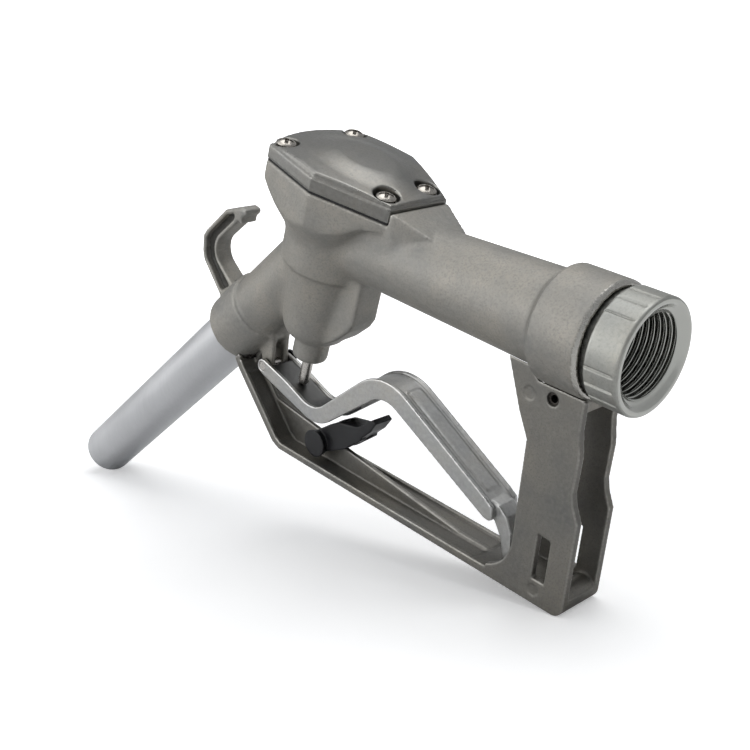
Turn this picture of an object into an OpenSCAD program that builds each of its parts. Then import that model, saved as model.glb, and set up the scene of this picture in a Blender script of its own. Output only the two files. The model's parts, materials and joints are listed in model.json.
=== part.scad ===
// Manual fuel nozzle with a swivel hose nut, a spring-loaded poppet valve,
// a squeeze lever inside a cast guard and a hold-open latch.
// Working frame: +X runs along the handle out of the hose inlet, -Y is the knob side
// of the latch, and X = 0 is the front face of the nut. stand() moves the mouth of the
// nut's thread to the origin and tips the frame about Y, so that the nozzle rests on its
// spout tip and on the guard's heel.

/* [Handle and inlet] */
// Outer diameter of the handle tube beside the inlet collar
tube_rear_d = 36.2; // [34:0.2:38]
// Outer diameter of the handle tube where it meets the valve chamber
tube_front_d = 30.2; // [28:0.2:32]
// Diameter of the flow bore inside the handle tube
flow_d = 22; // [18:0.5:23]
// Outer diameter of the inlet collar
collar_d = 43.5; // [43:0.1:46]
// Outer diameter of the swivel nut
nut_d = 42.3; // [40:0.1:43]
// Length of the swivel nut in front of the collar
nut_len = 13.6; // [13:0.1:15]
// Bore of the nut: the minor diameter of a G1 female thread
nut_bore_d = 30.3; // [30.3:0.01:30.4]

/* [Spout] */
// Outer diameter of the spout tube
spout_d = 25.4; // [24:0.1:26]
// Wall thickness of the spout tube
spout_wall = 1.6; // [1.2:0.1:2.4]
// Length of the spout tube in front of its boss
spout_len = 161; // [120:1:190]
// Angle of the spout below the handle axis, in degrees
spout_angle = 44.8; // [42:0.1:48]
// Outer diameter of the boss that holds the spout
boss_d = 33.6; // [32:0.2:36]

/* [Valve chamber] */
// Tilt of the valve axis and of the top cover against the handle, in degrees
valve_tilt = 11.4; // [9:0.1:13]
// Outer diameter of the round valve chamber
chamber_d = 42; // [41:0.5:44]
// Height of the cover's rim
cover_rim = 6.5; // [5:0.1:8]
// Rise of the cover's dome above its rim
cover_dome = 3.2; // [2:0.1:4]
// Diameter of the valve stem
stem_d = 4.8; // [4.4:0.1:5.2]

/* [Guard and lever] */
// Overall width of the guard
guard_w = 22.2; // [22:0.1:24]
// Wall thickness of the guard
guard_wall = 3.2; // [2.8:0.1:3.4]
// Overall width of the lever
lever_w = 15.6; // [15:0.1:16]
// Thickness of the lever's web and flanges
lever_wall = 2.4; // [2:0.1:2.8]

/* [Hidden] */
$fn = 64;

// Handle and inlet stations along the working X axis
// Gap between the collar and the nut
nut_gap = 2.4;
collar_x1 = -nut_len - nut_gap;
collar_x0 = -36.7;
adapter_x0 = -50;
shoulder_x = -30;
flange_x0 = -24.8;
flange_x1 = -22.4;
// The nut's thread: depth of its countersunk mouth and end of the thread
mouth_depth = 2.2;
thread_x0 = -19;
relief_d = 31.6;
counter_d = 38.6;
counter_x0 = -31;
skirt_d = counter_d - 0.8;
// Swivel adapter: outer diameter, bore, flange, and the groove of its O-ring
adapter_d = 26;
adapter_bore_d = 20.4;
flange_d = 29.2;
seal_x = -28.4;
seal_root_d = 22.8;

// Centre of the cover's outline, on the plane of its upper rim
cover_x = -138.1;
cover_z = 28.9;
// Offset of the valve axis from that centre, along the cover
valve_u = -10.45;
// Outline of the cover and of the flange below it: half-widths at stations along the cover
front_u = -33.4;
front_v = 24.2;
mid_u = -3.5;
mid_v = 27.6;
rear_u = 28.3;
rear_v = 15.4;
nose_u = -39.3;
gasket_t = 0.8;
// Lowest point of the valve stem, on the valve axis
stem_tip_h = -107.6;
// Screws of the cover
screw_front = [-30.4, 18.2];
screw_rear = [20.6, 10.9];
screw_head_d = 8.2;
screw_well_d = 10.4;
screw_seat = -1.6;
screw_shank_d = 4.6;
// Cross recess in each screw's head
slot_len = 5.8;
slot_w = 1.3;
// Valve seat, stem gland and poppet spring, by height on the valve axis
seat_h = -38;
seat_d = 27;
gland_h = -92.4;
gland_d = 9.4;
stem_len = 78.4;
coil_r = 8.4;
coil_h = -27.6;

// Spout axis: it crosses the handle axis at spout_x
spout_x = -150.9;
boss_s0 = 65.5;
boss_s1 = 89;
// Step down of the tube's root, inside the boss
root_step = 0.8;
root_d = spout_d - root_step;
root_bore_d = spout_d - 2.4;
socket_s = boss_s0 + 1.5;
spout_seal_s = boss_s0 + 6;
spout_seal_d = spout_d + 1.8;
set_screw_s = boss_s1 - 9;
set_screw_d = 4;
// Flow passages below the seat and down to the spout
passage_d = 20;
tip_s = boss_s1 + spout_len;

// Guard profile in the working XZ plane
base_z = -105;
base_front_z = -104.4;
heel_x = -11.4;
heel_r = 5;
rear_pin = [-29.7, -23.6];
rear_pin_d = 5;
front_pin = [-200.3, -70.9];
front_pin_d = 2;
// Width of the rim left on each side of the guard's recess
guard_rim = 1.9;
// Reach of the guard's tongue towards the spout axis
tongue_r = 14.2;
lever_pin = [-189.2, -71.4];
lever_pin_d = 4;
lever_eye_d = 6.6;
// Middle and width of each of the body's two eyes, and the pin's far end
eye_y = 3.7;
eye_w = 2.6;
pin_end_y = lever_w / 2 + 1.9;
// Rims of the lever's upper face and the depth between them
lever_rim = 1.8;
lever_recess = 1.1;
// Front end of the web between the lever's flanges
fork_x = -185.3;
latch_pin = [-151.6, -94.2];
latch_pin_d = 4;
// Middle and width of each arm of the latch, and the diameter round its pin
arm_y = 3.4;
arm_w = 3.2;
arm_d = 10.4;

// Resting attitude: the line from the spout tip's lowest rim point to the rounded heel
tip_low = [spout_x - tip_s * cos(spout_angle) + spout_d / 2 * sin(spout_angle),
           -tip_s * sin(spout_angle) - spout_d / 2 * cos(spout_angle)];
heel_c = [heel_x - heel_r, base_z + heel_r];
heel_gap = norm(heel_c - tip_low);
rest_tilt = atan2(heel_c[1] - tip_low[1], heel_c[0] - tip_low[0]) - asin(heel_r / heel_gap);

// Colours
cast_grey = [0.56, 0.56, 0.53];
bright_grey = [0.74, 0.75, 0.76];
steel_grey = [0.66, 0.65, 0.62];
rubber_black = [0.08, 0.08, 0.08];
latch_black = [0.09, 0.09, 0.1];

// ---------- frames ----------

module stand() {
  rotate([0, rest_tilt, 0]) translate([mouth_depth, 0, 0]) children();
}

// X runs rearwards along the cover and Z up through it
module cover_frame() {
  translate([cover_x, 0, cover_z]) rotate([0, valve_tilt, 0]) children();
}

module valve_frame() {
  cover_frame() translate([valve_u, 0, 0]) children();
}

// Z runs down the spout from the point where its axis crosses the handle axis
module spout_frame() {
  translate([spout_x, 0, 0]) rotate([0, -90 - spout_angle, 0]) children();
}

module along_x(x) {
  translate([x, 0, 0]) rotate([0, 90, 0]) children();
}

// A cylinder across the part, centred on the XZ point p
module cross_pin(p, d, len) {
  translate([p[0], 0, p[1]]) rotate([90, 0, 0]) cylinder(d = d, h = len, center = true);
}

// Points along an arc about c, from angle a0 to a1
function arc(c, r, a0, a1, n = 8) =
  [for (i = [0:n]) c + r * [cos(a0 + (a1 - a0) * i / n), sin(a0 + (a1 - a0) * i / n)]];

// An outline drawn in X and Z, stretched from y0 to y1
module slab(y0, y1) {
  translate([0, y1, 0]) rotate([90, 0, 0]) linear_extrude(height = y1 - y0) children();
}

// ---------- cover and chamber ----------

module cover_outline(grow = 0) {
  nose_r = (pow(front_v, 2) + pow(front_u - nose_u, 2)) / (2 * (front_u - nose_u));
  intersection() {
    translate([nose_u + nose_r - grow, 0]) circle(r = nose_r);
    polygon([[-60, -front_v - 3 - grow], [front_u - 1, -front_v - grow], [mid_u, -mid_v - grow],
             [rear_u + grow, -rear_v - grow], [rear_u + grow, rear_v + grow],
             [mid_u, mid_v + grow], [front_u - 1, front_v + grow], [-60, front_v + 3 + grow]]);
  }
}

module at_screws() {
  for (s = [-1, 1]) {
    translate([screw_front[0], s * screw_front[1], 0]) children();
    translate([screw_rear[0], s * screw_rear[1], 0]) children();
  }
}

module top_cover() {
  dome_r = (pow(36, 2) + pow(cover_dome, 2)) / (2 * cover_dome);
  color(cast_grey) stand() cover_frame() difference() {
    union() {
      translate([0, 0, -cover_rim]) linear_extrude(height = cover_rim - 0.8) cover_outline();
      intersection() {
        translate([0, 0, -1.2]) linear_extrude(height = 10) cover_outline(-0.8);
        translate([-4, 0, cover_dome - dome_r]) sphere(r = dome_r, $fn = 96);
      }
    }
    at_screws() translate([0, 0, screw_seat]) cylinder(d = screw_well_d, h = 10);
    at_screws() translate([0, 0, -10]) cylinder(d = 5.2, h = 20);
    translate([valve_u, 0, -cover_rim - 1]) cylinder(d = 24, h = 4.5);
  }
}

module cover_gasket() {
  color(rubber_black) stand() cover_frame() difference() {
    translate([0, 0, -cover_rim - gasket_t]) linear_extrude(height = gasket_t)
      cover_outline(-0.5);
    translate([valve_u, 0, -10]) cylinder(d = 35.4, h = 10);
    at_screws() translate([0, 0, -10]) cylinder(d = 5.4, h = 20);
  }
}

module cover_screws() {
  color(steel_grey) stand() cover_frame() at_screws() difference() {
    union() {
      translate([0, 0, -13]) cylinder(d = screw_shank_d, h = 12);
      intersection() {
        translate([0, 0, screw_seat]) cylinder(d = screw_head_d, h = 4);
        translate([0, 0, -4.2]) sphere(d = 12.4);
      }
    }
    for (a = [45, 135]) {
      rotate([0, 0, a]) translate([-slot_len / 2, -slot_w / 2, 0]) cube([slot_len, slot_w, 3]);
    }
  }
}

// ---------- body ----------

module chamber_outside() {
  valve_frame() {
    // flange, cut to a shoulder by a cone about the valve axis
    intersection() {
      translate([-valve_u, 0, -46]) linear_extrude(height = 46 - cover_rim - gasket_t)
        cover_outline();
      rotate_extrude($fn = 96) polygon([[0, -46], [20.9, -46], [20.9, -34], [22.4, -29.5],
                                        [34.2, -13.6], [56, -5], [0, -5]]);
    }
    // round chamber with its skirt, stem boss and stem guide
    rotate_extrude($fn = 96) polygon([[0, -92.8], [7, -92.8], [7.8, -92], [7.8, -82],
                                      [12.6, -80], [14.6, -76.5], [18.2, -50], [19.2, -44],
                                      [20, -41.5], [chamber_d / 2, -40.6],
                                      [chamber_d / 2, -12], [0, -12]]);
  }
}

// Wedge behind the cover, narrowing as it runs down to the handle tube
module rear_shoulder() {
  intersection() {
    slab(-16, 16) polygon([[-150, 0], [-150, 20], [-113, 21.8], [-108.5, 20.6], [-92, 13.8],
                           [-92, 0]]);
    linear_extrude(height = 30) polygon([[-150, -rear_v], [-110, -rear_v], [-92, -8.6],
                                         [-92, 8.6], [-110, rear_v], [-150, rear_v]]);
  }
}

// Channel housing behind the stem boss, running up to the handle tube
module rear_lobe() {
  slab(-7, 7) polygon([[-160, -10], [-130.5, -10], [-134.6, -33.6], [-137.2, -37.6],
                       [-144.6, -44], [-150, -47.5], [-160, -47.5]]);
}

// Hanging hook: a faceted back, a notched tip and a round throat, hollowed on both sides
module hook() {
  throat_c = [-221.4, -28.6];
  throat_r = 8;
  rim = 1.9;
  difference() {
    slab(-4.6, 4.6) polygon(concat(
      [[-214, -56], [-221, -55.2], [-238.6, -36.6], [-239.8, -32.4], [-239.6, -24.8],
       [-237.4, -21.8], [-223.6, -8.6], [-212.4, -4.6]],
      [[-209.2, -5.4], [-208.8, -7.2], [-211.6, -9.6], [-211.8, -12.6], [-214.4, -11.6]],
      arc(throat_c, throat_r, 131, 234),
      [[-214, -44]]));
    for (s = [-1, 1]) {
      translate([0, s * 3.4, 0]) slab(-2.4, 2.4) polygon(concat(
        [[-225.4, -47.6], [-236.4, -35.4], [-237.6, -32], [-237.4, -25.8], [-235.8, -23],
         [-222.8, -10.8], [-216.6, -8.6], [-217.6, -11.6]],
        arc(throat_c, throat_r + rim, 131, 234),
        [[-219.4, -43.4]]));
    }
  }
}

module collar_lug() {
  slab(-7.5, 7.5) polygon([[-37, -12], [-37, -24], [-33, -28.2], [-22, -28.2], [-18.4, -25.6],
                           [-18.4, -12]]);
}

// Two eyes under the spout boss that carry the lever pin
module lever_eyes() {
  for (s = [-1, 1]) {
    translate([0, s * eye_y, 0]) slab(-eye_w / 2, eye_w / 2)
      polygon([[-196.4, -57], [-192.5, -71.6], [-186, -71.6], [-185.4, -54]]);
    translate([0, s * eye_y, 0]) cross_pin(lever_pin, lever_eye_d, eye_w);
  }
}

// Tongue at the top of the guard's front arm; grow > 0 gives the notch it sits in
module tongue(grow) {
  difference() {
    slab(-3.5 - grow, 3.5 + grow)
      polygon([[-203, -77 - grow], [-207 - grow, -70.4], [-199.5, -62.6], [-194.6, -67.6],
               [-198.4 + 2 * grow, -74.4]]);
    spout_frame() cylinder(r = tongue_r - grow, h = 200);
  }
}

module body_casting() {
  color(cast_grey) stand() difference() {
    union() {
      along_x(-150) cylinder(d1 = tube_front_d, d2 = tube_rear_d, h = 110);
      along_x(-40.6) cylinder(d1 = tube_rear_d - 0.4, d2 = collar_d - 2.2, h = 3.6);
      along_x(-37.8) cylinder(d1 = collar_d - 2.4, d2 = collar_d, h = 1.1);
      along_x(collar_x0) cylinder(d = collar_d, h = collar_x1 - collar_x0 - 1.6);
      along_x(collar_x1 - 1.61) cylinder(d1 = collar_d, d2 = collar_d - 2.8, h = 1.61);
      chamber_outside();
      rear_shoulder();
      rear_lobe();
      spout_frame() cylinder(d = 30.2, h = boss_s0 + 1);
      spout_frame() translate([0, 0, boss_s0]) cylinder(d = boss_d, h = boss_s1 - boss_s0);
      hook();
      collar_lug();
      lever_eyes();
    }
    // flow path: handle bore, adapter thread, counterbore for the nut's skirt
    along_x(-146) cylinder(d = flow_d, h = 140);
    along_x(adapter_x0) cylinder(d = adapter_d, h = 40);
    along_x(counter_x0) cylinder(d = counter_d, h = 20);
    // valve cavity, seat pocket and stem bore
    valve_frame() translate([0, 0, -34]) cylinder(d = 34, h = 40);
    valve_frame() translate([0, 0, seat_h]) cylinder(d = seat_d, h = 10);
    valve_frame() translate([0, 0, -70]) cylinder(d = passage_d, h = 40);
    valve_frame() translate([0, 0, -100]) cylinder(d = stem_d + 0.6, h = 40);
    valve_frame() translate([0, 0, gland_h - 0.6]) cylinder(d = gland_d, h = 14.2);
    // passage down to the spout, and the socket that holds it
    spout_frame() translate([0, 0, 24]) cylinder(d = passage_d, h = 66);
    spout_frame() translate([0, 0, socket_s]) cylinder(d = root_d, h = 40);
    spout_frame() translate([0, 0, spout_seal_s]) cylinder(d = spout_seal_d, h = 2.4);
    spout_frame() translate([0, 0, set_screw_s]) rotate([-90, 0, 0])
      cylinder(d = set_screw_d, h = 30);
    // seat of the cover in the rear shoulder, screw holes and pin holes
    cover_frame() translate([0, 0, -cover_rim - gasket_t]) linear_extrude(height = 20)
      cover_outline(0.15);
    cover_frame() at_screws() translate([0, 0, -16]) cylinder(d = screw_shank_d + 0.1, h = 20);
    cross_pin(rear_pin, rear_pin_d, 60);
    cross_pin(front_pin, front_pin_d, 60);
    cross_pin(lever_pin, lever_pin_d, 60);
    tongue(0.3);
  }
}

// ---------- valve ----------

module valve_seat() {
  color(steel_grey) stand() valve_frame() difference() {
    translate([0, 0, seat_h]) cylinder(d = seat_d, h = 4.6);
    translate([0, 0, seat_h - 1]) cylinder(d = passage_d - 1, h = 8);
    translate([0, 0, seat_h + 3.4]) cylinder(d1 = passage_d - 1, d2 = passage_d + 2, h = 1.4);
  }
}

module valve_stem() {
  color(steel_grey) stand() valve_frame() union() {
    translate([0, 0, stem_tip_h + stem_d / 2]) cylinder(d = stem_d, h = stem_len);
    translate([0, 0, stem_tip_h + stem_d / 2]) sphere(d = stem_d - 0.02);
  }
}

module poppet() {
  color(bright_grey) stand() valve_frame() difference() {
    union() {
      translate([0, 0, -31]) cylinder(d = 26, h = 2.2);
      translate([0, 0, -28.9]) cylinder(d = 12, h = 5);
      translate([0, 0, -36]) cylinder(d = 10, h = 5.1);
    }
    translate([0, 0, -40]) cylinder(d = stem_d, h = 14.4);
  }
}

module poppet_seal() {
  color(rubber_black) stand() valve_frame() difference() {
    translate([0, 0, -33.2]) cylinder(d = 24.6, h = 2.2);
    translate([0, 0, -34]) cylinder(d = 10, h = 4);
  }
}

module poppet_nut() {
  color(steel_grey) stand() valve_frame() difference() {
    translate([0, 0, -39.2]) cylinder(d = 8, h = 3.2, $fn = 6);
    translate([0, 0, -40]) cylinder(d = stem_d, h = 6);
  }
}

// A closed coil band stands for each turn of the poppet's return spring
module main_spring() {
  turns = 4;
  pitch = 5.9;
  color(steel_grey) stand() valve_frame() union() {
    for (i = [0:turns]) {
      translate([0, 0, coil_h + i * pitch]) rotate_extrude() translate([coil_r, 0])
        circle(d = 1.8, $fn = 16);
    }
    for (i = [0:turns - 1]) {
      rotate([0, 0, i * 180]) translate([coil_r, 0, coil_h + i * pitch])
        cylinder(d = 1.4, h = pitch, $fn = 16);
    }
  }
}

module stem_gland() {
  color(steel_grey) stand() valve_frame() difference() {
    translate([0, 0, gland_h]) cylinder(d = gland_d, h = 6);
    translate([0, 0, gland_h - 0.6]) cylinder(d = stem_d + 0.1, h = 10);
  }
}

module stem_seal() {
  color(rubber_black) stand() valve_frame() difference() {
    translate([0, 0, gland_h + 6]) cylinder(d = gland_d, h = 4);
    translate([0, 0, gland_h + 5.4]) cylinder(d = stem_d + 0.1, h = 8);
  }
}

// ---------- spout ----------

module spout_tube() {
  color(bright_grey) stand() spout_frame() difference() {
    union() {
      translate([0, 0, boss_s1]) cylinder(d = spout_d, h = spout_len);
      translate([0, 0, socket_s]) cylinder(d = root_d, h = 30);
    }
    translate([0, 0, boss_s0]) cylinder(d = spout_d - 2 * spout_wall, h = 300);
    translate([0, 0, boss_s0]) cylinder(d = root_bore_d, h = boss_s1 - boss_s0 + 1);
  }
}

module spout_seal() {
  color(rubber_black) stand() spout_frame() difference() {
    translate([0, 0, spout_seal_s + 0.1]) cylinder(d = spout_seal_d, h = 2.2);
    translate([0, 0, boss_s0]) cylinder(d = root_d, h = 20);
  }
}

module spout_set_screw() {
  color(steel_grey) stand() spout_frame() translate([0, 0, set_screw_s])
    rotate([-90, 0, 0]) difference() {
      translate([0, 0, spout_d / 2 + 0.1]) cylinder(d = set_screw_d, h = 3.3);
      translate([0, 0, spout_d / 2 + 1.6]) cylinder(d = 2, h = 4, $fn = 6);
    }
}

// ---------- guard ----------

// Front arm and base strip, open towards the hand
module guard_strip() {
  polygon([[-207.4, -68.4], [-201.4, -76.6], [-176, -102.4], [-171.4, base_front_z],
           [heel_x - heel_r, base_z], [heel_x, base_z + heel_r], [heel_x, -98],
           [-38, -98], [-41, -100.6], [-53.8, -101.2], [-170.4, -101.2], [-173.6, -99.6],
           [-198.4, -74.2], [-203.8, -66.4]]);
}

module cheek_outline() {
  difference() {
    polygon(concat(
      [[-55, -6], [-50.4, -15.5], [-43.2, -33], [-38.2, -42.4]],
      arc([-54, -84.8], 16, 0, -70),
      [[-48, -103], [-16, -103], [heel_x, -99], [heel_x, -65], [-14.4, -58.8],
       [-15.4, -54.6], [-15.1, -40.6], [-16.7, -31.2], [-16.7, -6]]));
    polygon([[-26.9, -76], [-21.1, -76.6], [-21.1, -94.6], [-26.9, -94.6]]);
  }
}

module guard() {
  half = guard_w / 2;
  color(cast_grey) stand() difference() {
    union() {
      difference() {
        union() {
          slab(-half, half) guard_strip();
          translate([heel_c[0], 0, heel_c[1]]) rotate([90, 0, 0])
            cylinder(r = heel_r, h = guard_w, center = true);
          for (s = [-1, 1]) {
            translate([0, s * (half - guard_wall / 2), 0]) slab(-guard_wall / 2, guard_wall / 2)
              cheek_outline();
          }
          // central rib along the base
          slab(-1.1, 1.1) polygon([[-190, -84.2], [-187.2, -87.4], [-72, -101],
                                   [-72, -103.4], [-172, -103.4]]);
        }
        // recess along the inner face of the arm and the base, on each side of the rib
        for (s = [-1, 1]) {
          translate([0, s * (half + 1.1 - guard_rim) / 2, 0])
            slab(-(half - 1.1 - guard_rim) / 2, (half - 1.1 - guard_rim) / 2)
              polygon([[-195.6, -76.2], [-197.6, -77.3], [-174.4, -100.9], [-170.8, -102.8],
                       [-57, -102.8], [-52.6, -100.6], [-169.8, -100.6], [-172.8, -98.8]]);
        }
        // clearance round the collar, the handle tube, the boss and the spout
        along_x(-60) cylinder(d1 = tube_rear_d - 0.7, d2 = tube_rear_d + 0.5, h = 20);
        along_x(-40.7) cylinder(d1 = tube_rear_d + 0.2, d2 = collar_d + 0.4, h = 3.8);
        along_x(-37) cylinder(d = collar_d + 0.4, h = 40);
        spout_frame() translate([0, 0, 40]) cylinder(d = boss_d + 0.4, h = boss_s1 - 39.8);
        spout_frame() translate([0, 0, 40]) cylinder(r = tongue_r, h = 120);
      }
      tongue(0);
    }
    cross_pin(rear_pin, rear_pin_d, 60);
    cross_pin(front_pin, front_pin_d, 60);
    cross_pin(latch_pin, latch_pin_d, 60);
  }
}

module guard_rear_pin() {
  color(steel_grey) stand() difference() {
    cross_pin(rear_pin, rear_pin_d, guard_w - 2.4);
    cross_pin(rear_pin, rear_pin_d - 2, guard_w);
  }
}

module guard_front_pin() {
  color(steel_grey) stand() cross_pin(front_pin, front_pin_d, 13);
}

// ---------- lever ----------

// Upper edge: front, valley, hump and the straight grip
function lever_top() = concat([[-192.6, -71], [-188.4, -68], [-173, -72.3]],
                              arc([-156.6, -64.75], 12.9, 249, 313),
                              arc([-111.8, -72.6], 23, 133, 63),
                              [[-55.7, -75.6], [-51.4, -78.2]]);

// Lower edge, back from the grip's end to the front
function lever_low() = concat([[-50.8, -83.4], [-52.4, -84.6], [-55, -84.2]],
                              arc([-111.5, -71.2], 13, 63, 133),
                              arc([-154.3, -67.9], 16.6, 313, 254),
                              [[-188, -75.6], [-192, -73.8]]);

function lowered(points, depth) = [for (p = points) p - [0, depth]];

module lever() {
  half = lever_w / 2;
  color(bright_grey) stand() difference() {
    union() {
      difference() {
        slab(-half, half) polygon(concat(lever_top(), lever_low()));
        // recess between the rims of the upper face
        slab(-half + lever_rim, half - lever_rim)
          polygon(concat(lowered(lever_top(), lever_recess), [[-40, -40], [-200, -40]]));
        // hollow of the channel, open downwards
        slab(-half + lever_wall, half - lever_wall)
          polygon(concat(lowered(lever_top(), lever_recess + lever_wall),
                         [[-40, -120], [-200, -120]]));
      }
      // raised land along the grip
      slab(-3.4, 3.4) polygon([[-108, -52], [-102.6, -51.8], [-92, -56.7], [-58, -74.8],
                               [-57, -77], [-92, -58.6], [-106, -53.4]]);
      cross_pin(lever_pin, lever_eye_d, lever_w);
      // tail that hangs between the guard's cheeks
      slab(-4.6, 4.6) polygon([[-58, -76.6], [-50.6, -78], [-46.4, -81.2], [-43.4, -87],
                               [-41.6, -97.6], [-45.4, -99.4], [-48.4, -90.6], [-52, -85.2],
                               [-58, -82.6]]);
    }
    // fork round the two eyes: the web stops short of the pivot
    slab(-half + lever_wall, half - lever_wall)
      polygon([[-200, -90], [-200, -60], [fork_x, -60], [fork_x, -90]]);
    cross_pin(lever_pin, lever_pin_d + 0.1, 60);
  }
}

module lever_pin() {
  // its far end carries the clip, its near end stops short of the lever's side
  color(steel_grey) stand() translate([lever_pin[0], pin_end_y, lever_pin[1]])
    rotate([90, 0, 0]) cylinder(d = lever_pin_d, h = lever_w + 1.5);
}

module lever_pin_clip() {
  color(rubber_black) stand() translate([lever_pin[0], pin_end_y, lever_pin[1]])
    rotate([90, 0, 0]) difference() {
      translate([0, 0, 0.4]) cylinder(d = 8, h = 1.1);
      cylinder(d = lever_pin_d, h = 3);
    }
}

// ---------- latch ----------

module latch() {
  color(latch_black) stand() difference() {
    union() {
      // knob on the near side
      translate([latch_pin[0], -arm_y, latch_pin[1]]) rotate([90, 0, 0])
        cylinder(d1 = arm_d, d2 = 12.6, h = 4.6);
      // two arms astride the guard's rib, joined past its reach
      for (s = [-1, 1]) {
        translate([0, s * arm_y, 0]) {
          cross_pin(latch_pin, arm_d, arm_w);
          slab(-arm_w / 2, arm_w / 2)
            polygon([[-155, -90.4], [-146, -83.6], [-140, -80], [-134.6, -78.8],
                     [-131, -79.4], [-126, -75.4], [-126, -83], [-136, -91.4], [-147, -97]]);
        }
      }
      slab(-5, 5) polygon([[-139.6, -80.2], [-134.6, -78.8], [-128.6, -77.6], [-120.4, -70.8],
                           [-118.2, -72], [-121.6, -77.4], [-131, -86.6], [-138.6, -87]]);
    }
    translate([latch_pin[0], 10, latch_pin[1]]) rotate([90, 0, 0])
      cylinder(d = latch_pin_d + 0.06, h = 15.8);
  }
}

module latch_pin() {
  color(steel_grey) stand() translate([latch_pin[0], 7.2, latch_pin[1]]) rotate([90, 0, 0])
    union() {
      cylinder(d = latch_pin_d, h = 12.8);
      translate([0, 0, -1.4]) cylinder(d = 7, h = 1.41);
    }
}

module latch_spring() {
  color(steel_grey) stand() translate([latch_pin[0], 0, latch_pin[1]]) rotate([90, 0, 0])
    union() {
      for (i = [0:2]) {
        translate([0, 0, -5.6 - i * 0.5]) rotate_extrude() translate([2.7, 0])
          circle(d = 0.6, $fn = 16);
      }
      translate([2.7, 0, -5.6]) rotate([0, 90, -50]) cylinder(d = 0.5, h = 6, $fn = 16);
    }
}

// ---------- swivel inlet ----------

module swivel_adapter() {
  color(steel_grey) stand() difference() {
    union() {
      along_x(adapter_x0) cylinder(d = adapter_d, h = counter_x0 - adapter_x0 + 0.6);
      along_x(shoulder_x - 1) cylinder(d = adapter_d - 0.8, h = flange_x0 - shoulder_x + 1.5);
      along_x(flange_x0) cylinder(d = flange_d, h = flange_x1 - flange_x0);
    }
    along_x(adapter_x0 - 5) cylinder(d = adapter_bore_d, h = 60);
    // groove for the O-ring
    difference() {
      along_x(seal_x) cylinder(d = 30, h = 2.4);
      along_x(seal_x - 1) cylinder(d = seal_root_d, h = 5);
    }
  }
}

module swivel_nut() {
  groove_w = 1.2;
  groove_step = 17.5;
  color(bright_grey) stand() difference() {
    union() {
      along_x(-nut_len) cylinder(d = nut_d, h = nut_len - 0.6);
      along_x(-0.6) cylinder(d1 = nut_d, d2 = nut_d - 1.2, h = 0.6);
      along_x(shoulder_x) cylinder(d = skirt_d, h = -shoulder_x - nut_len + 1);
    }
    along_x(flange_x0 - 0.2) cylinder(d = nut_bore_d, h = 40);
    along_x(flange_x0 - 0.2) cylinder(d = relief_d, h = thread_x0 - flange_x0 + 0.2);
    along_x(shoulder_x - 5) cylinder(d = adapter_d - 0.2, h = 20);
    along_x(-mouth_depth) cylinder(d1 = 33.4, d2 = 37.8, h = mouth_depth + 0.01);
    // four groups of three grooves between smooth panels
    for (a = [24:90:294]) {
      for (b = [-groove_step, 0, groove_step]) {
        rotate([a + b, 0, 0]) translate([-nut_len - 1, -groove_w / 2, nut_d / 2 - 0.7])
          cube([nut_len - 1.5, groove_w, 2]);
      }
    }
  }
}

module swivel_seal() {
  color(rubber_black) stand() difference() {
    along_x(seal_x + 0.1) cylinder(d = adapter_d - 0.4, h = 2.2);
    along_x(seal_x - 1) cylinder(d = seal_root_d, h = 5);
  }
}

module inlet_washer() {
  color(rubber_black) stand() difference() {
    along_x(flange_x1) cylinder(d = flange_d + 0.2, h = 2);
    along_x(flange_x1 - 1) cylinder(d = adapter_bore_d, h = 8);
  }
}

module inlet_strainer() {
  color(steel_grey) stand() difference() {
    along_x(-46) cylinder(d = adapter_bore_d - 0.2, h = 22);
    along_x(-44.8) cylinder(d = 18.4, h = 30);
    for (a = [0:60:300]) {
      rotate([a, 0, 0]) translate([-50, 0, 6]) rotate([0, 90, 0]) cylinder(d = 3.4, h = 12);
    }
    along_x(-50) cylinder(d = 4, h = 12);
  }
}

// ---------- selector ----------

body_casting();
top_cover();
cover_gasket();
cover_screws();
valve_seat();
valve_stem();
poppet();
poppet_seal();
poppet_nut();
main_spring();
stem_gland();
stem_seal();
spout_tube();
spout_seal();
spout_set_screw();
guard();
guard_rear_pin();
guard_front_pin();
lever();
lever_pin();
lever_pin_clip();
latch();
latch_pin();
latch_spring();
swivel_adapter();
swivel_nut();
swivel_seal();
inlet_washer();
inlet_strainer();
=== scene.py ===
# Looks of the fuel nozzle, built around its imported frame. Lengths are in millimetres, which MM
# scales to metres, except where a comment gives metres.
import json
import math

import bmesh
import bpy
import numpy as np
from mathutils import Matrix, Vector


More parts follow.
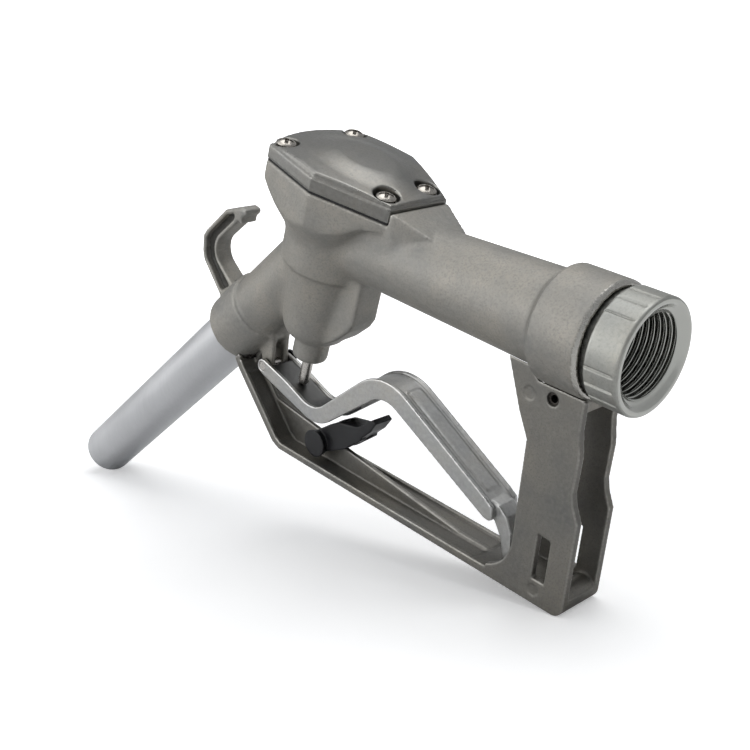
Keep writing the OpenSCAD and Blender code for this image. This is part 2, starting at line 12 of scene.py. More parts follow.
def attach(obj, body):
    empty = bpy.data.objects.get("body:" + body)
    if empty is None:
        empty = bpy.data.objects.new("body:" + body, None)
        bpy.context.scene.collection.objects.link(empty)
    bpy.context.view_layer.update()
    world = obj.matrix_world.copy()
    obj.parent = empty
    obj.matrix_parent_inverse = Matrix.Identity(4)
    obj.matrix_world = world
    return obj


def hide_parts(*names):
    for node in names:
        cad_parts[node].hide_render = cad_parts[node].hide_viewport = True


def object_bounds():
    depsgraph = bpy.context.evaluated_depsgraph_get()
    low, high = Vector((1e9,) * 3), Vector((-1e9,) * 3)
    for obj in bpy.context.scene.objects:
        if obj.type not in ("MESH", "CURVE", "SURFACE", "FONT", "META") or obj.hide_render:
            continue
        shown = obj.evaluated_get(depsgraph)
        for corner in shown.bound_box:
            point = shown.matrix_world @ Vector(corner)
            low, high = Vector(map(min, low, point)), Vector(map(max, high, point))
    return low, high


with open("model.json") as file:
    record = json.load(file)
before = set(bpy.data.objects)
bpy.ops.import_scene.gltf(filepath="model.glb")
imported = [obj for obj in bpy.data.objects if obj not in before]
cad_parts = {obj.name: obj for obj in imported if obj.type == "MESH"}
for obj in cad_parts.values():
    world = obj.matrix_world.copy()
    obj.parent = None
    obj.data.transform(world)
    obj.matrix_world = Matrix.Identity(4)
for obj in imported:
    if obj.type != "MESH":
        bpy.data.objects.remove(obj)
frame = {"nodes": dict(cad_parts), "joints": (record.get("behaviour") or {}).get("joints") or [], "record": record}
CAD_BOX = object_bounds()
NODES = frame["nodes"]
JOINTS = {joint["name"]: joint for joint in frame["joints"]}

MM = 0.001
ACROSS = Vector((0, 1, 0))

# ---------- the handle's own axes ----------
# The nozzle is designed along its handle: x runs out of the inlet, z points away from the
# guard, and x = 0 is the nut's front face, 2.2 mm outside the mouth of the thread.

MOUTH = 2.2
HANDLE = Vector(JOINTS["hose_swivel"]["axis"])
HANDLE_UP = Vector((-HANDLE.z, 0, HANDLE.x))
INLET = Vector(JOINTS["hose_swivel"]["pos_m"]) + MOUTH * MM * HANDLE


def turned(x, y, z):
    """A direction given along the handle's axes, in the row's frame."""
    return x * HANDLE + y * ACROSS + z * HANDLE_UP


def at(x, y, z):
    """A point given along the handle's axes, in the row's frame."""
    return INLET + MM * turned(x, y, z)


# ---------- camera ----------

CAMERA_AT = (183.0, -317.7, 143.6)
CAMERA_AZIMUTH = math.radians(44.2)
CAMERA_ELEVATION = math.radians(24.0)
CAMERA_ROLL = math.radians(5.1)
CAMERA_LENS = 56.64
SENSOR_WIDTH = 36


def make_camera():
    a, e, r = CAMERA_AZIMUTH, CAMERA_ELEVATION, CAMERA_ROLL
    back = Vector((math.sin(a) * math.cos(e), -math.cos(a) * math.cos(e), math.sin(e)))
    level = Vector((math.cos(a), math.sin(a), 0))
    upward = back.cross(level)
    right = math.cos(r) * level + math.sin(r) * upward
    up = math.cos(r) * upward - math.sin(r) * level
    axes = [turned(*v) for v in (right, up, back)]
    turn = Matrix([[axis[row] for axis in axes] for row in range(3)])
    data = bpy.data.cameras.new("camera")
    data.lens = CAMERA_LENS
    data.sensor_width = SENSOR_WIDTH
    data.clip_start = 0.02
    camera = bpy.data.objects.new("camera", data)
    bpy.context.scene.collection.objects.link(camera)
    camera.matrix_world = Matrix.Translation(at(*CAMERA_AT)) @ turn.to_4x4()
    bpy.context.scene.camera = camera


make_camera()

# ---------- mesh helpers ----------


def add_object(name, mesh):
    piece = bpy.data.objects.new(name, mesh)
    bpy.context.scene.collection.objects.link(piece)
    return piece


def shade_smooth(mesh):
    mesh.polygons.foreach_set("use_smooth", [True] * len(mesh.polygons))


def grid_object(name, rings, material, closed_profile=False):
    """A surface through rings of points, each ring closed; closed_profile joins last and first."""
    count, around = len(rings), len(rings[0])
    points = np.asarray(rings).reshape(-1, 3)
    faces = []
    for i in range(count if closed_profile else count - 1):
        j = (i + 1) % count
        for k in range(around):
            n = (k + 1) % around
            faces.append((i * around + k, i * around + n, j * around + n, j * around + k))
    mesh = bpy.data.meshes.new(name)
    mesh.from_pydata([tuple(p) for p in points], [], faces)
    bm = bmesh.new()
    bm.from_mesh(mesh)
    bmesh.ops.recalc_face_normals(bm, faces=bm.faces)
    bm.to_mesh(mesh)
    bm.free()
    shade_smooth(mesh)
    mesh.materials.append(material)
    return add_object(name, mesh)


def rounded(points, steps=4):
    """A closed profile of (along, radius, fillet) corners, with its corners rounded."""
    out = []
    for i, (x, r, fillet) in enumerate(points):
        here = Vector((x, r))
        before = Vector(points[i - 1][:2]) - here
        after = Vector(points[(i + 1) % len(points)][:2]) - here
        reach = min(fillet, 0.45 * before.length, 0.45 * after.length)
        if reach <= 0:
            out.append((x, r))
            continue
        start = here + before.normalized() * reach
        end = here + after.normalized() * reach
        for s in range(steps + 1):
            t = s / steps
            p = (1 - t) ** 2 * start + 2 * t * (1 - t) * here + t ** 2 * end
            out.append((p.x, p.y))
    return out


def arrays(mesh):
    """Vertex places and both ends of every edge."""
    co = np.empty(len(mesh.vertices) * 3)
    mesh.vertices.foreach_get("co", co)
    ends = np.empty(len(mesh.edges) * 2, int)
    mesh.edges.foreach_get("vertices", ends)
    return co.reshape(-1, 3), ends.reshape(-1, 2)


def neighbour_mean(values, ends, count):
    a, b = ends.T
    total = np.stack([np.bincount(a, values[b, k], count) + np.bincount(b, values[a, k], count)
                      for k in range(values.shape[1])], 1)
    degree = np.bincount(ends.ravel(), minlength=count)
    return total / np.maximum(degree, 1)[:, None]


def normals_of(mesh):
    out = np.empty(len(mesh.vertices) * 3, np.float32)
    mesh.vertex_normals.foreach_get("vector", out)
    return out.reshape(-1, 3).astype(float)


def smooth_step(t):
    """0 to 1 with level ends, for t from 0 to 1; a number or an array."""
    return t * t * (3 - 2 * t)


def relax(mesh, rounds, weight=1.0):
    """Rounds every edge of a dense mesh; weight may be one number for each vertex."""
    co, ends = arrays(mesh)
    step = 0.5 * np.broadcast_to(weight, (len(co),))[:, None]
    for _ in range(rounds):
        co += step * (neighbour_mean(co, ends, len(co)) - co)
    mesh.vertices.foreach_set("co", co.ravel())
    mesh.update()


def fill_hollows(mesh, rounds, weight):
    """Fillets inner corners only, as a casting's are, by moving hollow places outwards."""
    co, ends = arrays(mesh)
    for i in range(rounds):
        if i % 6 == 0:
            mesh.vertices.foreach_set("co", co.ravel())
            mesh.update()
            normal = normals_of(mesh)
        move = neighbour_mean(co, ends, len(co)) - co
        outward = np.einsum("ij,ij->i", move, normal)
        gain = np.where(outward > 0, 1.0, 0.12) * weight
        co += 0.6 * gain[:, None] * move
    mesh.vertices.foreach_set("co", co.ravel())
    mesh.update()


EDGE_LIMIT = 1.5
EDGE_BLUR = 6


def mark_edges(mesh, reach):
    """Stores how sharply the surface bends outwards (+) or inwards (-), for edge wear with a painted highlight and
    for painted shade in inner corners.
    """
    co, ends = arrays(mesh)
    length = np.linalg.norm(co[ends[:, 0]] - co[ends[:, 1]], axis=1)
    mean_length = np.bincount(ends[:, 0], length, len(co)) + np.bincount(ends[:, 1], length, len(co))
    mean_length /= np.maximum(np.bincount(ends.ravel(), minlength=len(co)), 1)
    move = neighbour_mean(co, ends, len(co)) - co
    bend = -2 * np.einsum("ij,ij->i", move, normals_of(mesh)) / np.maximum(mean_length, 1e-6) ** 2
    bend = np.clip(bend * reach * MM, -EDGE_LIMIT, EDGE_LIMIT)[:, None]
    for _ in range(EDGE_BLUR):
        bend = 0.5 * bend + 0.5 * neighbour_mean(bend, ends, len(co))
    layer = mesh.attributes.new("edge", "FLOAT", "POINT")
    layer.data.foreach_set("value", bend[:, 0].astype(np.float32))


def mark_finish_and_shade(mesh, mask_name, chosen):
    """Stores a vertex mask: "machined" marks a bright, smooth turned surface; "raw" marks painted shade, darkened
    in hollows and under the body.
    """
    layer = mesh.attributes.new(mask_name, "FLOAT", "POINT")
    layer.data.foreach_set("value", chosen.astype(np.float32))


def applied(piece):
    """The piece's mesh with its modifiers applied."""
    graph = bpy.context.evaluated_depsgraph_get()
    mesh = bpy.data.meshes.new_from_object(piece.evaluated_get(graph))
    old = piece.data
    piece.modifiers.clear()
    piece.data = mesh
    bpy.data.meshes.remove(old)
    return mesh


def dense_copy(node, name, voxel):
    """The CAD solid as one even mesh, ready to be rounded."""
    mesh = NODES[node].data.copy()
    mesh.materials.clear()
    bm = bmesh.new()
    bm.from_mesh(mesh)
    bmesh.ops.remove_doubles(bm, verts=bm.verts, dist=1e-6)
    bm.to_mesh(mesh)
    bm.free()
    piece = add_object(name, mesh)
    remesh = piece.modifiers.new("remesh", "REMESH")
    remesh.mode = "VOXEL"
    remesh.voxel_size = voxel * MM
    applied(piece)
    return piece


def thinned(piece, share):
    collapse = piece.modifiers.new("thin", "DECIMATE")
    collapse.ratio = share
    return applied(piece)


def finish_cast(piece, node, body, material, share, reach=1.2):
    """Thins a rounded piece, marks its edges, gives it its material and seats it on its body."""
    if share < 1:
        thinned(piece, share)
    shade_smooth(piece.data)
    mark_edges(piece.data, reach)
    piece.data.materials.clear()
    piece.data.materials.append(material)
    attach(piece, body)
    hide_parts(node)
    return piece


# ---------- materials ----------

SLOTS = {part["node"]: part["material_slot"] for part in frame["record"]["subparts"]}


class Shader:
    """A Principled material with a few helpers for its nodes."""

    def __init__(self, name, colour, metallic, roughness):
        self.material = bpy.data.materials.new(name)
        self.material.use_nodes = True
        self.tree = self.material.node_tree
        self.out = self.tree.nodes["Principled BSDF"]
        self.out.inputs["Base Color"].default_value = (*colour, 1)
        self.out.inputs["Metallic"].default_value = metallic
        self.out.inputs["Roughness"].default_value = roughness
        self.place = self.node("ShaderNodeTexCoord").outputs["Object"]

    def node(self, kind, **settings):
        made = self.tree.nodes.new(kind)
        for key, value in settings.items():
            setattr(made, key, value)
        return made

    def link(self, source, target):
        self.tree.links.new(source, target)

    def noise(self, size, detail=3.0, rough=0.55, stretch=None):
        """Noise whose blobs are about size millimetres across."""
        made = self.node("ShaderNodeTexNoise")
        made.inputs["Scale"].default_value = 1 / (size * MM)
        made.inputs["Detail"].default_value = detail
        made.inputs["Roughness"].default_value = rough
        place = self.place
        if stretch is not None:
            mapping = self.node("ShaderNodeMapping")
            mapping.inputs["Rotation"].default_value = stretch[0]
            mapping.inputs["Scale"].default_value = stretch[1]
            self.link(self.place, mapping.inputs["Vector"])
            place = mapping.outputs["Vector"]
        self.link(place, made.inputs["Vector"])
        return made.outputs["Fac"]

    def grains(self, size):
        made = self.node("ShaderNodeTexVoronoi")
        made.inputs["Scale"].default_value = 1 / (size * MM)
        self.link(self.place, made.inputs["Vector"])
        return made.outputs["Distance"]

    def ramp(self, source, low, high, from_=(0.0, 1.0)):
        """source carried from its range onto low..high."""
        made = self.node("ShaderNodeMapRange")
        made.inputs["From Min"].default_value = from_[0]
        made.inputs["From Max"].default_value = from_[1]
        made.inputs["To Min"].default_value = low
        made.inputs["To Max"].default_value = high
        self.link(source, made.inputs["Value"])
        return made.outputs["Result"]

    def math(self, kind, first, second):
        made = self.node("ShaderNodeMath", operation=kind)
        for socket, value in zip(made.inputs, (first, second)):
            if isinstance(value, (int, float)):
                socket.default_value = value
            else:
                self.link(value, socket)
        return made.outputs[0]

    def mix(self, share, first, second):
        """A colour between first and second; each may be a socket or a colour."""
        made = self.node("ShaderNodeMix", data_type="RGBA")
        self.link(share, made.inputs[0])
        for socket, value in zip((made.inputs[6], made.inputs[7]), (first, second)):
            if isinstance(value, tuple):
                socket.default_value = (*value, 1)
            else:
                self.link(value, socket)
        return made.outputs[2]

    def edge(self, low, high):
        """0 to 1 as the stored bend of the surface goes from low to high."""
        made = self.node("ShaderNodeAttribute", attribute_name="edge")
        return self.ramp(made.outputs["Fac"], 0.0, 1.0, (low, high))

    def bump(self, height, strength, depth):
        made = self.node("ShaderNodeBump")
        made.inputs["Strength"].default_value = strength
        made.inputs["Distance"].default_value = depth * MM
        self.link(height, made.inputs["Height"])
        self.link(made.outputs["Normal"], self.out.inputs["Normal"])


def scaled(colour, factor):
    return tuple(min(1.0, c * factor) for c in colour)


def tinted(colour, factor, warmth):
    red, green, blue = scaled(colour, factor)
    return (red * (1 + warmth), green, blue * (1 - 1.5 * warmth))


def cast_metal(name, colour, roughness, worn, grain=0.9, grain_depth=0.14, mottle=0.16, wear_and_highlight_gain=1.35):
    """Blasted die-cast alloy: clouded tone, fine pits, outer edges brightened as wear and painted highlight,
    painted shade in inner corners and where the "raw" mask is set.
    """
    s = Shader(name, colour, 1.0, roughness)
    clouds = s.noise(26, 4, 0.6)
    specks = s.noise(1.6, 2, 0.6)
    cool, warm = tinted(colour, 1 - mottle, -0.02), tinted(colour, 1 + mottle, 0.04)
    tone = s.mix(s.ramp(clouds, 0, 1, (0.3, 0.7)), cool, warm)
    tone = s.mix(s.ramp(specks, 0, 0.7, (0.4, 0.72)), tone, scaled(colour, 1.3))
    tone = s.mix(s.ramp(s.noise(0.8, 2, 0.6), 0, 0.5, (0.45, 0.7)), tone, scaled(colour, 0.72))
    # painted shade: inward bends such as inner corners, grooves and creases are darkened
    tone = s.mix(s.edge(-0.15, -0.9), tone, scaled(colour, 0.5))
    # outer edges brightened, partly as edge wear and partly as a painted highlight
    wear_and_highlight = s.math("MULTIPLY", s.edge(0.25, 0.95), s.ramp(s.noise(7, 3), 0.35, 1.0, (0.3, 0.6)))
    tone = s.mix(wear_and_highlight, tone, scaled(colour, wear_and_highlight_gain))
    # painted shade: vertices marked "raw" are darkened, in the hook's hollows and on the lever's web
    painted_shade = s.node("ShaderNodeAttribute", attribute_name="painted_shade").outputs["Fac"]
    machined = s.node("ShaderNodeAttribute", attribute_name="machined").outputs["Fac"]
    tone = s.mix(painted_shade, tone, scaled(colour, 0.3))
    tone = s.mix(machined, tone, scaled(colour, 1.6))
    s.link(tone, s.out.inputs["Base Color"])
    rough = s.ramp(specks, roughness - 0.06, roughness + 0.08, (0.3, 0.7))
    rough = s.math("SUBTRACT", rough, s.math("MULTIPLY", wear_and_highlight, roughness - worn))
    rough = s.math("MULTIPLY", rough, s.ramp(machined, 1.0, 0.45))
    s.link(rough, s.out.inputs["Roughness"])
    pits = s.math("ADD", s.noise(grain, 3, 0.65), s.math("MULTIPLY", s.grains(grain * 1.7), 0.35))
    s.bump(s.math("MULTIPLY", pits, s.ramp(machined, 1.0, 0.1)), 0.7, grain_depth)
    return s.material


def drawn_metal(name, colour, roughness, length_axis):
    """Drawn tube: fine lines along its length and faint clouding."""
    s = Shader(name, colour, 1.0, roughness)
    lines = s.noise(1.2, 3, 0.6, stretch=(length_axis, (1, 1, 0.02)))
    clouds = s.noise(30, 3)
    tone = s.mix(s.ramp(clouds, 0, 1, (0.3, 0.7)), scaled(colour, 0.94), scaled(colour, 1.04))
    s.link(tone, s.out.inputs["Base Color"])
    rough = s.math("ADD", s.ramp(lines, roughness - 0.05, roughness + 0.06, (0.3, 0.7)),
                   s.ramp(clouds, -0.03, 0.04, (0.3, 0.7)))
    s.link(rough, s.out.inputs["Roughness"])
    s.bump(lines, 0.12, 0.02)
    return s.material


def turned_metal(name, colour, roughness, grain=0.5, depth=0.006):
    """Machined or plated metal with a fine even grain."""
    s = Shader(name, colour, 1.0, roughness)
    fine = s.noise(grain, 3, 0.6)
    clouds = s.noise(9, 3)
    tone = s.mix(s.ramp(clouds, 0, 1, (0.3, 0.7)), scaled(colour, 0.9), scaled(colour, 1.06))
    s.link(tone, s.out.inputs["Base Color"])
    s.link(s.ramp(fine, roughness - 0.05, roughness + 0.07, (0.3, 0.7)), s.out.inputs["Roughness"])
    s.bump(fine, 0.3, depth)
    return s.material


def moulded(name, colour, roughness, grain=0.7, depth=0.03):
    """Moulded plastic or rubber with a fine grain and random scuffed patches."""
    s = Shader(name, colour, 0.0, roughness)
    s.out.inputs["Specular IOR Level"].default_value = 0.28
    fine = s.noise(grain, 3, 0.6)
    scuffs = s.noise(6, 4, 0.65)
    tone = s.mix(s.ramp(scuffs, 0, 1, (0.45, 0.75)), colour, scaled(colour, 1.9))
    s.link(tone, s.out.inputs["Base Color"])
    s.link(s.ramp(scuffs, roughness - 0.08, roughness + 0.12, (0.3, 0.7)), s.out.inputs["Roughness"])
    s.bump(fine, 0.4, depth)
    return s.material


# turns the noise so that its drawn-out direction runs near the spout's length
SPOUT_TURN = (0, math.radians(60), 0)
BODY_METAL = cast_metal("cast_body", (0.26, 0.254, 0.236), 0.62, 0.38)
COVER_METAL = cast_metal("cast_cover", (0.175, 0.173, 0.163), 0.38, 0.2, grain=0.8, grain_depth=0.04,
                         mottle=0.08, wear_and_highlight_gain=1.2)
GUARD_METAL = cast_metal("cast_guard", (0.165, 0.161, 0.149), 0.54, 0.3, grain_depth=0.08,
                         wear_and_highlight_gain=2.1)
LEVER_METAL = cast_metal("lever_alloy", (0.36, 0.36, 0.352), 0.4, 0.24, grain=1.0, grain_depth=0.03,
                         mottle=0.08, wear_and_highlight_gain=1.4)
NUT_METAL = cast_metal("nut_alloy", (0.28, 0.282, 0.264), 0.52, 0.3, grain=0.8, grain_depth=0.03,
                       mottle=0.05, wear_and_highlight_gain=1.25)
SPOUT_METAL = drawn_metal("spout_alloy", (0.5, 0.505, 0.515), 0.5, SPOUT_TURN)
STEEL = turned_metal("stem_steel", (0.5, 0.48, 0.45), 0.28)
PIN_STEEL = turned_metal("pin_steel", (0.06, 0.055, 0.05), 0.45)
SCREW_STEEL = turned_metal("screw_steel", (0.34, 0.32, 0.29), 0.24)
BRASS = turned_metal("brass_seat", (0.7, 0.55, 0.3), 0.3)
SPRING_STEEL = turned_metal("spring_steel", (0.45, 0.45, 0.45), 0.3)
POPPET_METAL = turned_metal("poppet_alloy", (0.7, 0.7, 0.7), 0.3)
LATCH_PLASTIC = moulded("latch_plastic", (0.007, 0.007, 0.008), 0.38)
RUBBER = moulded("rubber_black", (0.012, 0.012, 0.012), 0.6)

CAD_FINISH = {
    "cast_body": BODY_METAL, "cast_cover": COVER_METAL, "cast_guard": GUARD_METAL,
    "lever_alloy": LEVER_METAL, "nut_alloy": NUT_METAL, "spout_alloy": SPOUT_METAL,
    "poppet_alloy": POPPET_METAL, "brass_seat": BRASS, "stem_steel": STEEL,
    "screw_steel": SCREW_STEEL, "pin_steel": PIN_STEEL, "spring_steel": SPRING_STEEL,
    "latch_plastic": LATCH_PLASTIC, "rubber_black": RUBBER,
}


def finish_cad_nodes():
    for name, node in NODES.items():
        node.data.materials.clear()
        node.data.materials.append(STEEL if name == "lever_pin" else CAD_FINISH[SLOTS[name]])


finish_cad_nodes()

# ---------- body ----------


def coordinates(mesh, axes):
    """Vertex places along three axes through INLET, in millimetres."""
    co, _ = arrays(mesh)
    return (co - np.array(INLET)) / MM @ np.array(axes).T


def handle_coordinates(mesh):
    return coordinates(mesh, (HANDLE, ACROSS, HANDLE_UP))


def span(node):
    """A node's lowest and highest corners along the handle's axes, in millimetres."""
    places = handle_coordinates(NODES[node].data)
    return places.min(axis=0), places.max(axis=0)


REAR_PIN = sum(span("guard_rear_pin")) / 2
GUARD_LOW, GUARD_HIGH = span("guard")
LEVER_LOW, LEVER_HIGH = span("lever")
BODY_LOW, BODY_HIGH = span("body_casting")
COLLAR_FRONT = BODY_HIGH[0]
# the cover lies square to the valve's axis
COVER_UP = Vector(JOINTS["valve_lift"]["axis"])
COVER_AXES = (ACROSS.cross(COVER_UP), ACROSS, COVER_UP)
COVER_RIM = 6.5
PILLOW_RISE = 1.7
# parts of the body and lever, measured back from the collar's front or in from an end
WEDGE_END = 99
FILLET_START = 38
FILLET_END = 180
FILLET_LOW = -92
FILLET_TOP = 13
CHAMFER_LENGTH = 1.7
COUNTERBORE_EDGE = 18
HOOK_LENGTH = 28
HOOK_WEB_HALF = 1.9
WEB_LENGTH = 55


def make_body():
    piece = dense_copy("body_casting", "body", 0.6)
    mesh = piece.data
    x, y, z = handle_coordinates(mesh).T
    # the wedge behind the cover keeps crisp edges
    behind = COLLAR_FRONT - x
    crisp = np.clip((z - 11) / 3, 0, 1) * np.clip((WEDGE_END - behind) / 3, 0, 1)
    relax(mesh, 6, 1 - 0.85 * crisp)
    # wide casting fillets between the tube, the chamber, the neck and the shoulder
    wide = np.clip((FILLET_END - behind) / 14, 0, 1) * np.clip((behind - FILLET_START) / 8, 0, 1)
    wide *= np.clip((z - FILLET_LOW) / 8, 0, 1) * np.clip((FILLET_TOP - z) / 4, 0, 1)
    fill_hollows(mesh, 34, wide)
    finish_cast(piece, "body_casting", "nozzle_body", BODY_METAL, 0.42)
    # the collar's front is turned bright where the nut meets it; the hook's hollows get painted shade
    x, y, z = handle_coordinates(piece.data).T
    on_chamfer = (x > COLLAR_FRONT - CHAMFER_LENGTH) & (np.hypot(y, z) > COUNTERBORE_EDGE)
    hook_hollow_shade = (x < BODY_LOW[0] + HOOK_LENGTH) & (np.abs(y) < HOOK_WEB_HALF)
    mark_finish_and_shade(piece.data, "machined", on_chamfer)
    mark_finish_and_shade(piece.data, "painted_shade", hook_hollow_shade)


def raise_pillow(mesh):
    """Raises the cover's middle into a soft pillow with a round shoulder."""
    places = coordinates(mesh, COVER_AXES)
    low, high = places.min(axis=0), places.max(axis=0)
    half = (high - low) / 2
    along, across, height = (places - (low + high) / 2).T
    reach = np.hypot((along - 1.5) / (0.86 * half[0]), across / (0.7 * half[1]))
    rise = np.clip((1.0 - reach) / 0.55, 0, 1)
    above_rim = np.clip(height + half[2] - COVER_RIM + 1, 0, 1)
    rise = smooth_step(rise) * above_rim
    co, _ = arrays(mesh)
    co += (PILLOW_RISE * MM * rise)[:, None] * np.array(COVER_UP)
    mesh.vertices.foreach_set("co", co.ravel())
    mesh.update()


def make_cover():
    piece = dense_copy("top_cover", "cover", 0.32)
    relax(piece.data, 10)
    raise_pillow(piece.data)
    return finish_cast(piece, "top_cover", "nozzle_body", COVER_METAL, 0.7)


def make_screws():
    piece = dense_copy("cover_screws", "screws", 0.16)
    relax(piece.data, 2)
    return finish_cast(piece, "cover_screws", "nozzle_body", SCREW_STEEL, 0.6)


def press_marks(mesh, marks, sides, depth):
    """Presses round ejector marks, given as (x, z, radius), into faces that look along +-Y."""
    x, y, z = handle_coordinates(mesh).T
    co, _ = arrays(mesh)
    for mark_x, mark_z, radius in marks:
        away = np.hypot(x - mark_x, z - mark_z)
        dent = np.clip((radius + 0.35 - away) / 0.7, 0, 1)
        for side, face in sides:
            on_face = np.clip((y * side - face + 0.8) / 0.4, 0, 1)
            co[:, 1] -= side * depth * MM * dent * on_face
    mesh.vertices.foreach_set("co", co.ravel())
    mesh.update()


def make_guard():
    piece = dense_copy("guard", "guard_casting", 0.42)
    relax(piece.data, 4)
    # one mark beside the rear pin and one above the heel, on both cheeks
    marks = ((REAR_PIN[0] - 10, REAR_PIN[2] - 1.4, 2.6),
             (GUARD_HIGH[0] - 14, GUARD_LOW[2] + 5.7, 2.4))
    cheeks = ((-1, GUARD_HIGH[1]), (1, GUARD_HIGH[1]))
    press_marks(piece.data, marks, cheeks, 0.28)
    return finish_cast(piece, "guard", "nozzle_body", GUARD_METAL, 0.5)


def make_lever():
    piece = dense_copy("lever", "squeeze_lever", 0.3)
    relax(piece.data, 14)
    finish_cast(piece, "lever", "lever", LEVER_METAL, 0.7)
    # painted shade on the web in front of the hump, darkened as if shaded by the body
    x, y, z = handle_coordinates(piece.data).T
    lever_web_shade = (x < LEVER_LOW[0] + WEB_LENGTH) & (np.abs(y) < LEVER_HIGH[1] - 2.1)
    mark_finish_and_shade(piece.data, "painted_shade", lever_web_shade)


def make_latch():
    piece = dense_copy("latch", "hold_open_latch", 0.28)
    relax(piece.data, 5)
    return finish_cast(piece, "latch", "latch", LATCH_PLASTIC, 0.8)


make_body()
make_cover()
make_screws()
make_guard()
make_lever()
make_latch()

# ---------- spout ----------

MOUNTS = {mount["name"]: mount for mount in frame["record"]["mounts"]}
SPOUT_AXIS = Vector(MOUNTS["spout_outside"]["axis"])
SPOUT_MID = Vector(MOUNTS["spout_outside"]["pos_m"])
ROOT_LENGTH = 22.0
ROOT_STEP = 0.4
ROOT_BORE_STEP = 1.2


def lathe_rings(profile, origin, axis, side, around):
    """Rings about an axis; the profile gives (along, radius) in millimetres."""
    third = axis.cross(side)
    angles = [2 * math.pi * k / around for k in range(around)]
    return [[origin + MM * (along * axis + radius * (math.cos(a) * side + math.sin(a) * third))
             for a in angles] for along, radius in profile]


def make_spout():
    outer, inner = MOUNTS["spout_outside"]["dims"]["r_mm"], MOUNTS["spout_bore"]["dims"]["r_mm"]
    root = outer - ROOT_STEP
    root_bore = outer - ROOT_BORE_STEP
    places, _ = arrays(NODES["spout_tube"].data)
    along = (places - np.array(SPOUT_MID)) @ np.array(SPOUT_AXIS) / MM
    tip, end = float(along.max()), float(along.min())
    mouth = end + ROOT_LENGTH
    corners = [(tip, outer, 0.5), (mouth, outer, 0.2), (mouth, root, 0.1), (end, root, 0.3),
               (end, root_bore, 0.3), (mouth + 1, root_bore, 0.1), (mouth + 1, inner, 0.1),
               (tip, inner, 0.6)]
    rings = lathe_rings(rounded(corners), SPOUT_MID, SPOUT_AXIS, ACROSS, 160)
    piece = grid_object("spout", rings, SPOUT_METAL, closed_profile=True)
    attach(piece, "nozzle_body")
    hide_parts("spout_tube")


make_spout()

# ---------- swivel nut ----------

PITCH = 2.309
THREAD_MINOR = MOUNTS["inlet_thread"]["dims"]["r_mm"]
THREAD_DEPTH = 1.35
THREAD_END = -19.0
RIB_GROUPS = 4
RIB_STEP = 17.5
RIB_START = 24.0
GROOVE_HALF = 1.9
GROOVE_DEPTH = 1.0
NUT_BACK = -13.6
SKIRT_BACK = -30.0
FLANGE_BACK = -25.0
SKIRT_RADIUS = 18.9
NECK_RADIUS = 12.9
RELIEF_RADIUS = 15.8
AROUND_NUT = 480
THREAD_STEPS = 100


def limited(value):
    """A number cut to 0..1."""
    return min(1.0, max(0.0, value))


def thread_radius(x, angle):
    """Radius of the female thread's wall, rising from its crests as it leaves the mouth."""
    phase = (x / PITCH - angle / (2 * math.pi)) % 1.0
    wave = 1 - abs(2 * phase - 1)
    cut = limited((wave - 0.14) / 0.68)
    fade_in = limited((-MOUTH - x + 0.8) / 1.6)
    fade_out = limited((x - THREAD_END) / 1.2)
    return THREAD_MINOR + THREAD_DEPTH * smooth_step(cut) * fade_in * fade_out


def rib_depth(angle):
    """How deep the grip is cut at an angle: three grooves side by side, then a plain panel."""
    step = 360 / RIB_GROUPS
    nearest = (math.degrees(angle) - RIB_START + step / 2) % step - step / 2
    depth = 0.0
    for place in (-1, 0, 1):
        gap = abs(nearest - place * RIB_STEP) / GROOVE_HALF
        if gap < 1:
            depth = max(depth, GROOVE_DEPTH * (1 - gap))
    return depth


def make_nut():
    outer = float(span("swivel_nut")[1][1])
    skirt, neck, relief = SKIRT_RADIUS, NECK_RADIUS, RELIEF_RADIUS
    threaded = -MOUTH - THREAD_END
    profile = [(THREAD_END - 5.8, relief), (THREAD_END - 0.6, relief)]
    profile += [(THREAD_END + threaded * i / THREAD_STEPS, THREAD_MINOR)
                for i in range(THREAD_STEPS + 1)]
    profile += [(-2.1, 16.5), (-1.2, 17.5), (-0.5, 18.35), (-0.12, 18.75), (0.0, 18.95), (0.0, 20.1),
                (-0.1, 20.5), (-0.35, 20.8), (-0.8, 21.0), (-1.3, outer)]
    groove_start = len(profile)
    profile += [(-1.9, outer), (-2.3, outer), (-2.8, outer), (-3.6, outer), (-8, outer), (-12, outer),
                (-12.8, outer), (-13.1, outer - 0.15)]
    groove_end = len(profile)
    profile += [(NUT_BACK + 0.1, outer - 0.5), (NUT_BACK, outer - 0.9), (NUT_BACK, skirt + 0.3),
                (NUT_BACK, skirt), (SKIRT_BACK + 0.3, skirt), (SKIRT_BACK, skirt - 0.3),
                (SKIRT_BACK, neck + 0.3), (SKIRT_BACK + 0.3, neck), (FLANGE_BACK - 0.3, neck),
                (FLANGE_BACK, neck + 0.3), (FLANGE_BACK, relief - 0.3)]
    rings = []
    for i, (x, radius) in enumerate(profile):
        ring = []
        for k in range(AROUND_NUT):
            angle = 2 * math.pi * k / AROUND_NUT
            r = radius
            if radius == THREAD_MINOR:
                r = thread_radius(x, angle)
            elif groove_start <= i < groove_end:
                ease = limited((-1.5 - x) / 1.2)
                r = radius - rib_depth(angle) * ease
            ring.append(at(x, r * math.cos(angle), r * math.sin(angle)))
        rings.append(ring)
    piece = grid_object("hose_nut_grip", rings, NUT_METAL, closed_profile=True)
    mark_edges(piece.data, 1.2)
    # the thread, its countersink and the front rim are bright from the lathe
    x, y, z = handle_coordinates(piece.data).T
    bored = (np.hypot(y, z) < SKIRT_RADIUS) & (x > THREAD_END - 6)
    mark_finish_and_shade(piece.data, "machined", bored | (x > -0.05))
    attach(piece, "hose_nut")
    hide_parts("swivel_nut")


make_nut()

# ---------- studio ----------


# the floor in metres: its flat radius, the radius of its sweep and the height of its wall
FLAT = 1.5
SWEEP = 0.9
WALL = 3.2
SWEEP_STEPS = 16
AROUND_FLOOR = 96
MIDDLE = (CAD_BOX[0] + CAD_BOX[1]) / 2


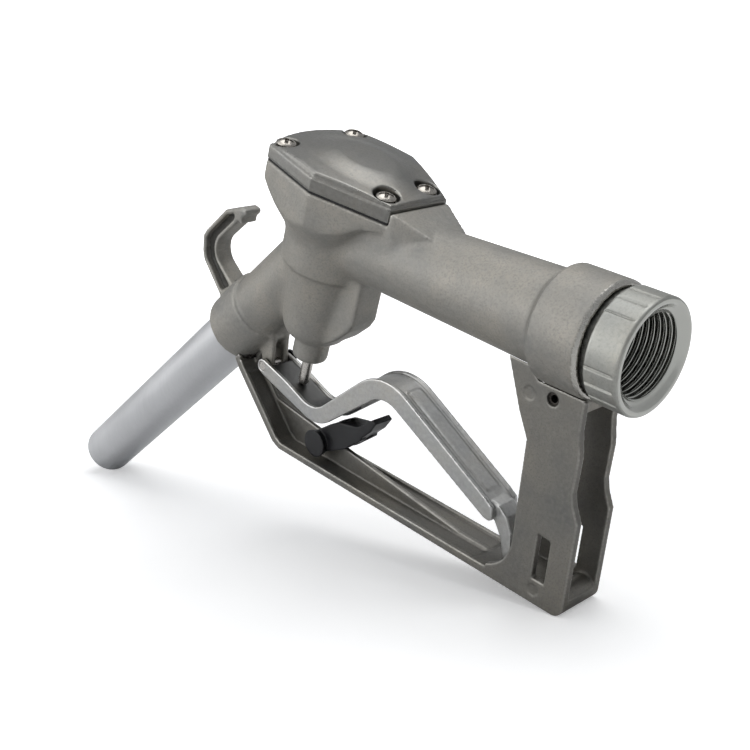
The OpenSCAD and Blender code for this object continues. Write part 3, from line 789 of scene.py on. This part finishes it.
def make_stage():
    """A pale floor that sweeps up all round, so that every view ends on it."""
    floor = CAD_BOX[0].z
    # the first ring is almost a point, so that no hole shows in the middle
    profile = [(0.00001, 0.0), (FLAT * 0.3, 0.0), (FLAT, 0.0)]
    for i in range(1, SWEEP_STEPS + 1):
        a = math.pi / 2 * i / SWEEP_STEPS
        profile.append((FLAT + SWEEP * math.sin(a), SWEEP * (1 - math.cos(a))))
    profile.append((FLAT + SWEEP, WALL))
    angles = [2 * math.pi * k / AROUND_FLOOR for k in range(AROUND_FLOOR)]
    rings = [[(MIDDLE.x + r * math.cos(a), MIDDLE.y + r * math.sin(a), floor + h) for a in angles]
             for r, h in profile]
    s = Shader("floor_paper", (0.93, 0.93, 0.93), 0.0, 0.8)
    fibres = s.ramp(s.noise(40, 4), 0, 1, (0.3, 0.7))
    s.link(s.mix(fibres, (0.94, 0.94, 0.94), (0.96, 0.96, 0.96)), s.out.inputs["Base Color"])
    # the paper's far parts glow for the camera, so that the backdrop stays white to its top
    spot = s.node("ShaderNodeVectorMath", operation="DISTANCE")
    s.link(s.place, spot.inputs[0])
    spot.inputs[1].default_value = (MIDDLE.x, MIDDLE.y, floor)
    direct = s.node("ShaderNodeLightPath").outputs["Is Camera Ray"]
    glow = s.math("MULTIPLY", direct, s.ramp(spot.outputs["Value"], 0.3, 1.1, (0.1, 1.2)))
    s.link(glow, s.out.inputs["Emission Strength"])
    s.out.inputs["Emission Color"].default_value = (1, 1, 1, 1)
    stage = grid_object("studio_floor", rings, s.material)
    for face in stage.data.polygons:
        if face.normal.z < 0 and face.index < AROUND_FLOOR:
            stage.data.flip_normals()
            break
    return stage


# each lamp's place from the middle of the object in metres, its size and its power
SOFTBOX = ((-0.25, -0.75, 1.15), (1.3, 1.1), 6)
KEY = ((-0.45, -1.3, 0.45), (1.3, 0.8), 8)
CARD = ((-1.2, -0.9, 0.45), (0.8, 0.8), 3.5)
OVERHEAD = ((0.1, 0.25, 1.3), (1.0, 1.0), 9)


def add_light(name, offset, size, power):
    """A rectangular lamp that points at the middle of the object."""
    data = bpy.data.lights.new(name, "AREA")
    data.shape = "RECTANGLE"
    data.size, data.size_y = size
    data.energy = power
    lamp = bpy.data.objects.new(name, data)
    bpy.context.scene.collection.objects.link(lamp)
    place = MIDDLE + Vector(offset)
    lamp.location = place
    lamp.rotation_mode = "QUATERNION"
    lamp.rotation_quaternion = (MIDDLE - place).to_track_quat("-Z", "Y")
    return lamp


def keep_off(piece, lamps):
    """Stops the lamps from lighting a piece; the floor is left to the overhead lamp and the world."""
    spared = bpy.data.collections.new("spared")
    spared.objects.link(piece)
    spared.collection_objects[0].light_linking.link_state = "EXCLUDE"
    for lamp in lamps:
        lamp.light_linking.receiver_collection = spared


def make_lights(stage):
    lamps = [add_light("softbox", *SOFTBOX), add_light("key", *KEY), add_light("card", *CARD)]
    add_light("overhead", *OVERHEAD)
    keep_off(stage, lamps)
    world = bpy.data.worlds.new("studio")
    world.use_nodes = True
    background = world.node_tree.nodes["Background"]
    background.inputs["Color"].default_value = (0.9, 0.92, 0.95, 1)
    background.inputs["Strength"].default_value = 0.6
    bpy.context.scene.world = world
    bpy.context.scene.view_settings.view_transform = "Standard"


make_lights(make_stage())
